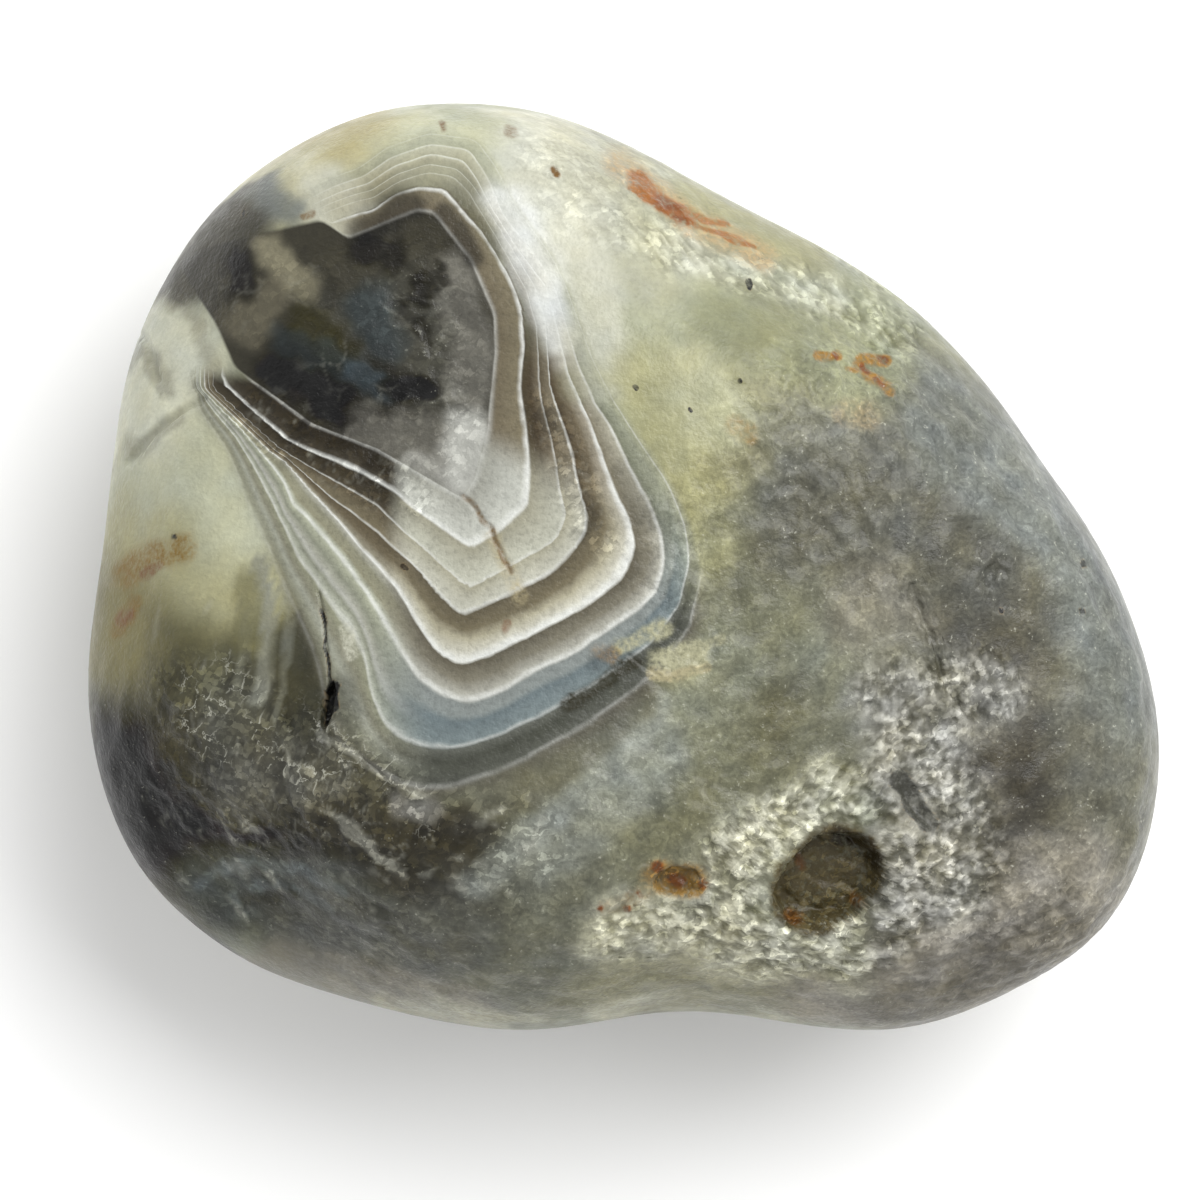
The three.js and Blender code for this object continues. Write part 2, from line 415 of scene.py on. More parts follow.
def lineReach(line):  # px from the bands' centre to a line, for each quarter degree
    turns = np.linspace(-np.pi, np.pi, 1441)
    spots = np.array(line, float) - agateBands["centre"]
    steps = np.arange(0, len(spots) - 0.99, 0.125)
    x = np.interp(steps, np.arange(len(spots)), spots[:, 0])
    y = np.interp(steps, np.arange(len(spots)), spots[:, 1])
    reach = np.interp(turns, *sortedPairs(np.arctan2(-y, x), np.hypot(x, y)), period=2 * np.pi)
    soft = np.exp(-0.5 * (np.arange(-12, 13) / 4.0) ** 2)
    padded = np.concatenate([reach[-13:-1], reach, reach[1:13]])
    return turns, np.convolve(padded, soft / soft.sum(), "valid")


def sortedPairs(first, second):
    order = np.argsort(first)
    return first[order], second[order]


def bandLevels(px, py):  # level of the pattern and angle in degrees
    away = px - agateBands["centre"][0], agateBands["centre"][1] - py
    angle = np.arctan2(away[1], away[0])
    reach = np.hypot(*away)
    inner = np.zeros_like(reach)
    level = np.zeros_like(reach)
    for line in agateBands["lines"].values():
        outer = np.maximum(np.interp(angle, *lineReach(line)), inner + agateBands["closest"])
        level += np.clip((reach - inner) / (outer - inner), 0.0, 1.0)
        inner = outer
    level += np.maximum(reach - inner, 0.0) / agateBands["beyond"]
    return level, np.degrees(angle)


# Colours of the stone, 0 to 255 as on a screen
stoneColours = {
    "greyGreen": (138, 140, 121), "paleGreen": (164, 167, 140), "yellowGreen": (174, 172, 132),
    "olive": (161, 159, 124), "moss": (124, 123, 100), "mossDark": (88, 86, 68),
    "shoulderGrey": (116, 116, 105), "shoulderDark": (92, 91, 83), "slate": (80, 77, 70),
    "blueGrey": (121, 125, 120), "ashGrey": (116, 117, 104), "stoneGrey": (150, 145, 133),
    "paleOlive": (132, 130, 103), "paintedRimLight": (186, 185, 162), "smoke": (31, 27, 14),
    "smokeGrey": (92, 92, 84), "umber": (62, 59, 52), "inkBlue": (80, 84, 81),
    "oliveGold": (139, 132, 90), "creamOlive": (178, 175, 138), "cream": (200, 202, 176),
    "creamWarm": (198, 194, 160), "chalk": (212, 212, 194), "white": (246, 248, 243),
    "frost": (204, 204, 190), "foldShade": (146, 145, 128), "rust": (120, 66, 34),
    "rustPale": (192, 166, 124), "orange": (118, 88, 52), "pitBrown": (92, 83, 61),
    "pitShadowAndSpeck": (54, 47, 34), "coreBrown": (62, 60, 54), "coreGrey": (80, 80, 75),
    "coreBlack": (32, 31, 30), "coreBlue": (54, 64, 72), "tanVeil": (120, 115, 98),
    "lilacGrey": (124, 122, 115), "lilacPale": (206, 207, 200), "black": (22, 20, 18),
    "crustCream": (188, 187, 165), "crustGrey": (154, 153, 144), "lensGrey": (74, 74, 70),
    "skyGrey": (120, 130, 132), "smokeDeep": (72, 69, 58), "bandDark": (56, 54, 46),
    "domeOlive": (54, 52, 40), "gleamBlue": (78, 92, 102), "chalkPale": (224, 225, 203),
    "tanSmear": (188, 176, 140), "pitTan": (132, 112, 74), "umberTan": (116, 94, 66),
    "oliveShade": (114, 111, 82), "flakeGrey": (110, 109, 100), "tailBrown": (114, 113, 98),
    "edgeBlue": (150, 154, 146), "lilacStrip": (144, 145, 132), "slotShade": (66, 65, 55),
    "knotCream": (182, 180, 150), "sage": (144, 146, 116), "yellowPale": (190, 190, 156),
    "ochre": (158, 118, 56), "amber": (138, 106, 20), "rustMid": (154, 96, 50),
    "tanCloud": (142, 137, 115), "goldCream": (178, 168, 122), "soot": (50, 48, 40),
}
lampLight = {
    "level": 1.54,  # light on a level surface
    "glare": (0.012, 0.0125, 0.017),  # what the polish mirrors
}

# How the paint keeps to the upper side and how ragged its edges are
paintSpread = {
    "fade": (6.4, 8.6),  # mm above the floor, where the upper side's markings run out
    "fadeLumps": {"size": 4.0, "height": 2.2},  # mm, so that they don't run out in a line
    "wideStroke": 55,  # px, strokes of this radius and more go on down the sides
    "under": (8.0, 170.0),  # shifts: size mm and reach px, on the underside
    "sides": (3.0, 60.0),
    "patches": [(2.5, 14.0), (0.7, 7.0)],
    "streaks": (0.6, 5.0),
    "glass": (0.5, 9.0),
    "stains": (0.6, 4.0),
}

# Soft patches laid on the skin in this order: colour, radius px, strength, and the stroke's points px
skinPaint = [
    ("paleGreen", 120, 1.0, [(640, 330), (740, 330), (800, 360)]),
    ("olive", 75, 1.0, [(690, 480), (730, 420), (780, 430)]),
    ("moss", 70, 1.0, [(730, 600), (780, 555)]),
    ("shoulderGrey", 110, 1.0, [(850, 480), (940, 470), (1020, 540)]),
    ("shoulderDark", 60, 0.6, [(820, 510), (890, 510), (960, 580)]),
    ("shoulderDark", 60, 0.3, [(960, 600), (1000, 620)]),
    ("stoneGrey", 45, 0.6, [(870, 610), (905, 640)]),
    ("slate", 115, 1.0, [(1010, 740), (1020, 830), (1000, 890)]),
    ("shoulderGrey", 55, 0.8, [(1085, 690), (1120, 790), (1090, 880)]),
    ("blueGrey", 50, 0.9, [(940, 420), (1050, 510), (1110, 600), (1140, 690)]),
    ("greyGreen", 110, 1.0, [(560, 830), (640, 770), (720, 720)]),
    ("paleGreen", 40, 0.4, [(600, 800), (660, 780)]),
    ("moss", 70, 0.8, [(640, 850), (710, 830), (790, 770)]),
    ("mossDark", 40, 0.5, [(790, 720), (860, 740)]),
    ("ashGrey", 60, 0.6, [(840, 700), (900, 700)]),
    ("paleOlive", 60, 0.9, [(560, 960), (640, 965), (760, 990)]),
    ("stoneGrey", 60, 0.9, [(840, 985), (900, 975), (1000, 945), (1070, 890)]),
    ("slate", 24, 0.3, [(860, 1010), (960, 995), (1060, 930)]),
    ("ashGrey", 85, 0.9, [(540, 900), (480, 950), (420, 930)]),
    ("crustGrey", 40, 0.9, [(890, 700), (935, 715), (985, 690)]),
    ("crustGrey", 46, 0.9, [(905, 760), (950, 810), (955, 880)]),
    ("crustCream", 34, 0.95, [(715, 880), (760, 828), (820, 800)]),
    ("crustCream", 34, 1.0, [(620, 934), (690, 930), (770, 950), (840, 956)]),
    ("crustGrey", 24, 0.8, [(890, 850), (890, 930)]),
    ("oliveShade", 95, 1.0, [(105, 655), (180, 645), (262, 650)]),
    ("mossDark", 80, 0.9, [(105, 735), (160, 706), (250, 726)]),
    ("smokeDeep", 70, 0.9, [(110, 780), (200, 780), (300, 800), (360, 820)]),
    ("smoke", 55, 0.9, [(110, 770), (140, 820), (200, 870), (260, 860)]),
    ("smokeGrey", 50, 0.7, [(235, 725), (290, 715)]),
    ("flakeGrey", 34, 0.7, [(240, 785), (310, 785)]),
    ("umber", 46, 0.85, [(330, 850), (400, 858), (450, 850)]),
    ("inkBlue", 42, 0.9, [(215, 890), (290, 890), (360, 925)]),
    ("smokeGrey", 40, 0.8, [(300, 930), (400, 950), (460, 920)]),
    ("stoneGrey", 26, 0.6, [(280, 962), (380, 990), (470, 1010)]),
    ("oliveGold", 46, 0.9, [(105, 640), (112, 610), (125, 570)]),
    ("creamOlive", 60, 1.0, [(130, 510), (200, 540), (250, 565)]),
    ("cream", 66, 1.0, [(150, 440), (215, 465), (255, 500)]),
    ("chalkPale", 50, 0.9, [(140, 320), (180, 350), (140, 410)]),
    # painted shade along the folds and creases of the cream lobe
    ("foldShade", 9, 0.6, [(150, 300), (136, 330), (150, 360), (158, 384)]),
    ("foldShade", 8, 0.5, [(178, 285), (198, 320), (212, 372)]),
    ("foldShade", 10, 0.5, [(130, 455), (153, 434), (180, 413)]),
    ("creamWarm", 60, 1.0, [(280, 165), (340, 135), (400, 118)]),
    ("goldCream", 36, 0.8, [(330, 122), (400, 112)]),
    ("cream", 50, 0.9, [(430, 140), (480, 135), (530, 150)]),
    ("paleGreen", 22, 0.8, [(460, 98), (510, 108), (560, 124)]),
    ("coreBrown", 40, 1.0, [(178, 250), (205, 215), (228, 200)]),
    ("smokeDeep", 34, 1.0, [(186, 258), (206, 226), (226, 200)]),
    ("smokeDeep", 20, 0.8, [(232, 206), (246, 232)]),
    ("blueGrey", 18, 0.85, [(268, 192), (286, 206)]),
    ("chalk", 30, 0.9, [(330, 190), (352, 222)]),
    ("chalk", 60, 1.0, [(550, 160), (570, 230)]),
    ("crustCream", 60, 0.7, [(620, 150), (680, 190), (650, 240)]),
    ("sage", 46, 0.8, [(740, 330), (810, 345), (860, 365)]),
    ("frost", 24, 0.4, [(690, 252), (770, 274), (830, 296)]),
    ("olive", 26, 0.9, [(695, 196), (760, 225), (810, 250)]),
    ("white", 22, 0.9, [(500, 200), (526, 250), (548, 300), (564, 346)]),
    ("chalk", 26, 0.8, [(594, 290), (594, 340), (606, 375)]),
    ("yellowGreen", 32, 0.8, [(640, 365), (665, 430), (695, 490), (706, 550)]),
    ("yellowPale", 34, 0.9, [(690, 380), (710, 410)]),
    ("creamOlive", 20, 0.6, [(662, 668), (692, 658)]),
    # a painted band of light along the near rim
    ("paintedRimLight", 16, 0.8, [(600, 1024), (700, 1014), (770, 1018)]),
    ("paintedRimLight", 13, 0.7, [(380, 1004), (450, 1018), (520, 1026)]),
]

# Streaks over the patches that keep their line
skinStreaks = [
    ("slotShade", 30, 0.7, [(304, 640), (304, 666), (300, 706)]),
    ("slotShade", 14, 0.9, [(308, 616), (314, 650), (314, 706)]),
    ("lilacStrip", 8, 0.8, [(258, 560), (268, 600), (268, 640), (258, 700)]),
    ("lilacStrip", 4, 0.5, [(284, 580), (289, 620), (284, 668), (276, 720)]),
    ("lilacStrip", 4, 0.4, [(242, 600), (246, 640), (238, 690)]),
    ("umber", 22, 0.9, [(430, 842), (475, 824)]),
    ("edgeBlue", 32, 0.6, [(540, 852), (580, 826), (622, 792), (660, 756)]),
    ("edgeBlue", 17, 0.7, [
        (474, 884), (508, 856), (536, 828), (572, 796), (604, 766), (640, 728), (656, 704),
    ]),
    ("tailBrown", 22, 0.95, [(490, 802), (528, 788), (556, 768), (592, 736), (634, 702)]),
    ("oliveShade", 13, 0.6, [(246, 580), (250, 610), (246, 640)]),
    ("lilacGrey", 13, 0.9, [(400, 806), (430, 812)]),
    ("skyGrey", 5, 0.5, [(198, 886), (220, 869), (256, 863), (300, 870), (342, 890)]),
    ("skyGrey", 4, 0.4, [(232, 900), (262, 884), (300, 890), (330, 908)]),
    ("soot", 8, 0.6, [(246, 898), (290, 896)]),
    ("soot", 7, 0.5, [(330, 848), (390, 868), (440, 872)]),
    ("frost", 4, 0.5, [(318, 734), (356, 754), (394, 782), (430, 796)]),
]

# Broken patches of the sides and underside: colour, size mm, strength
underPaint = [
    ("shoulderGrey", 7.0, 0.8), ("paleGreen", 5.0, 0.7), ("moss", 3.4, 0.8), ("stoneGrey", 2.4, 0.6),
    ("oliveGold", 1.7, 0.5), ("frost", 1.2, 0.35), ("smokeGrey", 2.0, 0.6),
]

# The smoky core inside the first line, then its darkest glass with harder edges
corePaint = [
    ("coreGrey", 56, 0.7, [(370, 310), (420, 330), (440, 370)]),
    ("coreBrown", 26, 0.7, [(340, 250), (360, 280)]),
    ("tanCloud", 20, 0.9, [(268, 252), (282, 272), (304, 284)]),
    ("tanVeil", 18, 0.6, [(266, 298), (238, 326), (258, 342)]),
    ("coreBlack", 34, 0.9, [(285, 370), (330, 388), (384, 400)]),
    ("lilacGrey", 26, 0.7, [(366, 430), (400, 440), (440, 452)]),
    ("lilacGrey", 24, 0.75, [(456, 280), (472, 330), (466, 390)]),
    ("coreBlue", 22, 0.6, [(372, 300), (384, 340)]),
    ("lilacPale", 24, 0.85, [(470, 436), (472, 478)]),
    ("lilacPale", 14, 0.5, [(416, 474), (450, 488)]),
]
coreGlass = [
    ("coreBlack", 15, 0.75, [(238, 258), (244, 288)]),
    ("domeOlive", 20, 0.9, [(306, 326), (324, 332), (338, 348)]),
    ("coreBlue", 16, 0.5, [(286, 340), (312, 352), (340, 364)]),
    ("gleamBlue", 13, 0.6, [(356, 370), (370, 378), (388, 388)]),
    ("coreBlack", 16, 0.7, [(364, 248), (392, 258)]),
    ("coreBlack", 11, 0.75, [(418, 276), (424, 296)]),
    ("coreBlack", 8, 0.7, [(438, 270), (440, 288)]),
    ("coreBlack", 8, 0.65, [(420, 324), (428, 340)]),
    ("coreBlack", 6, 0.65, [(404, 300), (408, 306)]),
    ("coreBlack", 13, 0.9, [(396, 388), (424, 388)]),
    ("coreBlack", 9, 0.8, [(318, 408), (344, 420)]),
    ("coreBlack", 7, 0.8, [(262, 372), (282, 388)]),
]

lensLine = [(901, 780), (912, 800), (928, 822)]

# Stains, specks and pit floors, laid last
stainPaint = [
    ("rustPale", 15, 0.6, [(618, 162), (650, 188), (690, 220), (730, 240), (764, 256)]),
    ("rustMid", 9, 0.85, [(636, 178), (660, 202), (690, 222)]),
    ("rust", 7, 0.8, [(660, 202), (676, 213), (684, 220)]),
    ("rustMid", 3, 0.7, [(690, 222), (720, 234), (752, 247)]),
    ("rustMid", 3, 0.6, [(672, 212), (700, 218), (726, 224)]),
    ("rustMid", 3, 0.6, [(628, 188), (650, 200), (670, 214)]),
    ("ochre", 5, 0.85, [(818, 356), (828, 358), (838, 357)]),
    ("ochre", 6, 0.85, [(858, 362), (870, 358), (886, 360)]),
    ("ochre", 6, 0.85, [(866, 374), (878, 380), (888, 392)]),
    ("ochre", 3, 0.7, [(848, 368), (856, 372)]),
    ("rust", 3, 0.8, [(833, 356), (835, 359)]),
    ("rust", 3.5, 0.8, [(862, 367), (868, 371)]),
    ("rust", 3, 0.8, [(878, 356), (884, 360)]),
    ("rust", 3, 0.7, [(876, 380), (882, 386)]),
    ("rustPale", 16, 0.35, [(846, 412), (866, 416)]),
    ("ochre", 12, 0.4, [(736, 426), (746, 434)]),
    ("amber", 15, 0.65, [(126, 574), (148, 556), (184, 548)]),
    ("amber", 9, 0.55, [(120, 630), (134, 602)]),
    ("rust", 6, 0.5, [(146, 574), (156, 568)]),
    ("rust", 5, 0.45, [(122, 624), (128, 612)]),
    ("orange", 4, 0.9, [(555, 171), (557, 174)]),
    ("orange", 5, 0.6, [(508, 131), (513, 134)]),
    ("orange", 4, 0.7, [(441, 124), (442, 128)]),
    ("orange", 4, 0.7, [(304, 217), (312, 213)]),
    ("pitBrown", 44, 1.0, [(812, 892), (840, 868)]),
    # painted shadow on the large pit's upper right inner wall
    ("pitShadowAndSpeck", 9, 0.8, [(838, 836), (862, 842), (876, 862)]),
    ("pitTan", 14, 0.9, [(668, 878), (692, 882)]),
    ("ochre", 16, 0.5, [(656, 876), (690, 882)]),
    ("orange", 9, 0.4, [(604, 908), (640, 896)]),
    ("rust", 5, 0.8, [(656, 866), (658, 867)]),
    ("rust", 6, 0.8, [(675, 878), (679, 881)]),
    ("rust", 4, 0.7, [(701, 882), (703, 884)]),
    ("rust", 3, 0.7, [(639, 894), (640, 895)]),
    ("rust", 3, 0.7, [(626, 909), (628, 909)]),
    ("rust", 3, 0.7, [(599, 909), (601, 909)]),
    ("rust", 5, 0.5, [(799, 860), (801, 864)]),
    ("rust", 6, 0.5, [(790, 914), (796, 918)]),
    ("rust", 5, 0.4, [(854, 898), (858, 901)]),
    ("lensGrey", 11, 1.0, lensLine),
    ("bandDark", 9, 0.7, [(566, 706), (604, 682), (632, 662)]),
    ("knotCream", 9, 0.7, [(620, 646), (640, 638), (664, 628)]),
    ("knotCream", 15, 0.95, [(662, 664), (678, 660), (690, 656)]),
    ("knotCream", 6, 0.7, [(690, 654), (706, 648), (722, 638)]),
    ("tanSmear", 6, 0.6, [(652, 672), (676, 676), (706, 668)]),
    ("rust", 5, 0.5, [(505, 630), (508, 626)]),
    ("tanSmear", 9, 0.5, [(492, 538), (510, 575), (520, 596)]),
    ("umberTan", 3, 0.7, agateCracks["brownFissure"]["points"]),
    ("pitShadowAndSpeck", 3, 0.8, [(405, 567), (407, 570)]),
    ("ochre", 8, 0.35, [(598, 650), (612, 656)]),
    ("chalk", 8, 0.7, [(347, 632), (353, 654)]),
    # the black inside the slot is painted shade
    ("black", 6.5, 1.0, [(333, 686), (331, 706)]),
    ("black", 4, 1.0, [(331, 704), (328, 724)]),
    ("black", 2, 0.8, [(321, 610), (326, 640), (329, 680)]),
    ("black", 3, 0.9, [(748, 282), (749, 287)]),
    ("black", 2.5, 0.8, [(242, 212), (243, 213)]),
    ("black", 2.5, 0.8, [(740, 378), (741, 379)]),
    ("black", 2.5, 0.8, [(634, 388), (635, 389)]),
    ("black", 2.5, 0.8, [(689, 411), (690, 412)]),
    ("black", 3, 0.7, [(1082, 564), (1083, 567)]),
    ("black", 3, 0.7, [(1081, 610), (1082, 614)]),
    ("black", 3, 0.7, [(1001, 608), (1002, 611)]),
    ("black", 3, 0.8, [(174, 536), (175, 537)]),
]

crispPaint = ("pitBrown", "pitShadowAndSpeck", "lensGrey", "black")  # with hard edges

# Where the finish changes: radius px, strength, points px
finishPaint = {
    "crust": [
        (34, 1.0, [(730, 860), (790, 815), (850, 795), (900, 790)]),
        (34, 1.0, [(720, 905), (770, 945), (840, 950), (900, 915), (910, 860)]),
        (44, 0.95, [(910, 740), (950, 800), (970, 880)]),
        (38, 0.8, [(890, 690), (940, 705), (985, 680)]),
        (26, 0.85, [(620, 935), (680, 928), (740, 938)]),
        (22, 0.6, [(660, 246), (770, 276), (840, 302), (905, 336)]),
        (26, 0.4, [(620, 225), (690, 250)]),
        (34, 0.2, [(545, 150), (575, 205), (640, 170)]),
        (40, 0.4, [(930, 960), (1000, 950), (1060, 915)]),
    ],
    "crackle": [
        (56, 1.0, [(205, 700), (250, 740), (300, 765)]),
        (44, 0.8, [(180, 790), (260, 810), (340, 810), (420, 830)]),
        (26, 0.7, [(250, 410), (330, 460), (410, 500)]),
        (16, 0.7, [(535, 400), (565, 470), (605, 540)]),
    ],
    "cracks": [
        (44, 0.7, [(210, 704), (250, 735), (296, 758)]),
        (18, 0.5, [(330, 745), (380, 770), (430, 812)]),
    ],
    "flow": [
        (60, 1.0, [(260, 800), (340, 815), (430, 840), (500, 850)]),
        (44, 0.8, [(210, 885), (300, 900), (400, 920)]),
    ],
    "veins": [
        (90, 1.0, [(430, 930), (560, 910), (650, 800)]),
        (60, 0.6, [(560, 980), (720, 980)]),
        (60, 0.6, [(760, 560), (830, 620), (780, 700)]),
        (40, 0.7, [(150, 640), (200, 600)]),
    ],
    "chips": [
        (150, 1.0, [(860, 480), (980, 560), (1040, 680), (1040, 850)]),
        (110, 0.15, [(720, 340), (850, 350)]),
        (110, 0.8, [(560, 900), (700, 800), (800, 650), (760, 560)]),
        (90, 0.7, [(420, 940), (560, 980), (800, 990), (950, 960)]),
        (60, 0.4, [(580, 170), (680, 210)]),
        (90, 0.6, [(150, 760), (260, 840), (330, 800)]),
        (40, 0.5, [(400, 300), (440, 320), (440, 400)]),
    ],
    "shade": [
        (14, 1.0, [(362, 232), (386, 220), (402, 204), (412, 206)]),
        (10, 1.0, [(444, 212), (460, 230), (474, 258)]),
        (16, 0.8, [(342, 690), (350, 716)]),
        (10, 0.5, [(596, 662), (610, 656)]),
        (12, 0.4, [(622, 470), (646, 520)]),
    ],
    "lens": [(13, 1.0, lensLine)],
    "pitFloor": [(44, 0.7, [(812, 888), (838, 872)]), (16, 0.6, [(662, 878), (690, 882)])],
    "milk": [
        (22, 0.9, [(494, 204), (516, 240), (540, 272), (562, 335)]),
        (18, 0.4, [(562, 335), (580, 385)]),
        (20, 0.6, [(590, 345), (606, 385)]),
        (26, 0.5, [(370, 165), (430, 140), (480, 150)]),
    ],
}


def softCover(px, py, radius, points, feather=0.5):  # 1 inside a stroke, 0 outside
    return smoothStep(1.0 + feather, 1.0 - feather, strokeDistance(px, py, points) / radius)


def zoneCover(name, px, py):
    return np.max([strength * softCover(px, py, radius, stroke)
                   for radius, strength, stroke in finishPaint[name]], axis=0)


def brush(colours, px, py, strokes, feather=0.5, upper=1.0):
    for name, radius, strength, points in strokes:
        cover = strength * softCover(px, py, radius, points, feather)
        if radius < paintSpread["wideStroke"]:  # narrow strokes keep to the upper side
            cover = cover * upper
        colours += (np.array(stoneColours[name]) - colours) * cover[:, None]


def linearColour(rgb):  # from a screen's 0 to 255 to the stone's own colour under the lamps
    share = np.array(rgb, float) / 255.0
    light = np.where(share <= 0.04045, share / 12.92, ((share + 0.055) / 1.055) ** 2.4)
    return np.clip((light - np.array(lampLight["glare"])) / lampLight["level"], 0.004, 0.95)


def wobble(points, size, reach):  # px, a shift along the picture that changes with the place
    return np.array([noise.noise_vector(Vector(p) / size)[:2] for p in points]).T * reach


def lumpy(points, size, octaves=1):  # about -0.6 to 0.6, lumps of this size in mm
    if octaves == 1:
        return np.array([noise.noise(Vector(p) / size) for p in points])
    return np.array([noise.fractal(Vector(p) / size, 1.0, 2.0, octaves) for p in points])


def cellReach(points, size):  # how far from the middle of a cell, in cells
    return np.array([noise.voronoi(Vector(p) / size)[0][0] for p in points])


def mosaic(points, size):  # crooked cells: a number for each, and how close its edge is
    crook = np.array([noise.noise_vector(Vector(p) / (0.8 * size)) for p in points])
    found = [noise.voronoi(Vector(p) / size) for p in points + 0.5 * size * crook]
    edge = np.array([near[1] - near[0] for near, _ in found])
    number = np.array([noise.cell(spots[0] * 7.3) for _, spots in found])
    return number, edge


def onTop(points):
    return points[:, 2] > 0.6 * photoView["rimHeight"]


def upperShare(points):  # 1 on the upper side, 0 well below the widest line
    lumps = paintSpread["fadeLumps"]
    height = points[:, 2] + lumps["height"] * lumpy(points, lumps["size"], 3)
    return smoothStep(*paintSpread["fade"], height)


# Below the widest line the skin is chipped all over and frosted in places: sizes and heights mm
lowerSkin = {
    "chips": {"share": 0.6, "size": 3.0},
    "sideChips": {"share": 0.7, "from": (11.5, 8.5)},
    "crust": {"share": 0.7, "size": 4.5, "edge": (0.2, 0.45)},
}


def chipCover(points, px, py):
    upper = upperShare(points)
    chips = lowerSkin["chips"]
    under = chips["share"] + chips["share"] * lumpy(points, chips["size"])
    sides = lowerSkin["sideChips"]
    sides = sides["share"] * under * smoothStep(*sides["from"], points[:, 2])
    return np.maximum(zoneCover("chips", px, py), sides) * upper + under * (1.0 - upper)


def crustCover(points, px, py):
    upper = upperShare(points)
    patches = lowerSkin["crust"]
    under = patches["share"] * smoothStep(*patches["edge"], lumpy(points + 40.0, patches["size"]))
    crust = zoneCover("crust", px, py) * (1.0 - zoneCover("lens", px, py))  # the lens is clear of it
    return crust * upper + under * (1.0 - upper)


def nearStains(points, widest, margin):  # small stains, up to the widest radius px
    px, py = toPixels(points)
    small = [(radius, stroke) for _, radius, _, stroke in stainPaint if radius <= widest]
    gaps = [strokeDistance(px, py, stroke) - radius for radius, stroke in small]
    return onTop(points) & (np.min(gaps, axis=0) < margin)


def fineZone(points):
    px, py = toPixels(points)
    level, angle = bandLevels(px, py)
    narrow = (level > 0.8) & (level < 7.6) & ((angle < -90) | (angle > -40)) & (angle < 112)
    rough = np.maximum(zoneCover("crackle", px, py), zoneCover("crust", px, py)) > 0.6
    chosen = onTop(points) & (narrow | (level < 1.3) | rough)
    return chosen | nearStains(points, 12, 3.0) | nearCracks(points)


# Relief of the skin, mm: height and size of what the tumbling left
agateRelief = {
    "swell": {"height": 0.07, "size": 4.0},
    "frost": {"height": 0.01, "size": 0.3},
    "bruise": {"height": 0.3, "size": 0.9},
    "scar": {"height": 0.13, "size": 0.5},
    "crust": {"height": 0.1, "size": 0.3},
    "crackle": {"height": 0.03, "size": 0.6},
}


def crustLumps(points):
    size = agateRelief["crust"]["size"]
    return lumpy(points, size) + 0.6 * lumpy(points, 0.5 * size) + 0.6 * lumpy(points, 3.0 * size)


def hammerMarks(points):  # hollows with sharp ridges between, and creases across them
    bent = points + lumpy(points, 1.0)[:, None] * 0.5
    hollow = np.minimum(cellReach(bent, agateRelief["bruise"]["size"]), 0.8) ** 2 - 0.2
    crease = 0.3 - np.abs(lumpy(points, agateRelief["scar"]["size"]))
    return hollow, crease


def roughenSkin(stone):
    points = readPoints(stone)
    px, py = toPixels(points) + wobble(points, 2.0, 12.0)
    size = {name: relief["size"] for name, relief in agateRelief.items()}
    chips = chipCover(points, px, py)
    hollow, crease = hammerMarks(points)
    facing = readNormals(stone)[:, 2]  # the rim itself stays smooth
    hammered = (0.05 + 0.95 * chips) * (smoothStep(0.1, 0.6, facing) + 0.7 * smoothStep(0.0, -0.5, facing))
    shapes = {
        "swell": lumpy(points, size["swell"]),
        "frost": lumpy(points, size["frost"], 2) * (0.3 + chips),
        "bruise": hollow * hammered,
        "scar": crease * hammered,
        "crust": crustLumps(points) * crustCover(points, px, py),
        "crackle": mosaic(points, size["crackle"])[0] * zoneCover("crackle", px, py) * upperShare(points),
    }
    rise = sum(agateRelief[name]["height"] * shape for name, shape in shapes.items())
    writePoints(stone, points + readNormals(stone) * rise[:, None])
    print("skin roughened:", ", ".join(shapes))


def paintBands(stone, points, px, py):
    level, angle = bandLevels(px, py)
    left = np.maximum(smoothStep(-84, -98, angle), smoothStep(140, 165, angle))
    right = smoothStep(-40, -20, angle) * (1.0 - smoothStep(140, 165, angle))
    lastLevel = 8.25 - 0.3 * left - 1.0 * right
    banded = smoothStep(lastLevel + 0.3, lastLevel - 0.3, level)
    banded *= 1.0 - smoothStep(100, 118, angle) * smoothStep(178, 172, angle)
    # over the top the bands turn milky
    milk = 0.6 * smoothStep(5, 48, angle) * smoothStep(122, 105, angle)
    milk *= smoothStep(1.98, 2.1, level) * smoothStep(9.5, 8.5, level)
    milk = np.maximum(milk, zoneCover("milk", px, py)) * (0.9 + 0.3 * lumpy(points, 1.2))
    level += 0.12 * lumpy(points, 2.0) * smoothStep(0.9, 1.8, level)
    coreLine = np.interp(np.radians(angle), *lineReach(agateBands["lines"]["coreEdge"]))
    centre = agateBands["centre"]
    upper = upperShare(points)
    bands = {
        "bandLevel": level, "leftSide": left, "rightSide": right,
        "banded": banded * upper, "milk": milk * upper,
        "coreShare": np.hypot(px - centre[0], py - centre[1]) / coreLine + 3.0 * (1.0 - upper),
    }
    for name, values in bands.items():
        writeFloats(stone, name, values)


def writeFloats(stone, name, values):
    attribute = stone.data.attributes.new(name, "FLOAT", "POINT")
    attribute.data.foreach_set("value", values.astype(np.float32))


def writeColours(stone, name, colours):
    attribute = stone.data.attributes.new(name, "FLOAT_COLOR", "POINT")
    opaque = np.column_stack([linearColour(colours), np.ones(len(colours))])
    attribute.data.foreach_set("color", opaque.astype(np.float32).ravel())


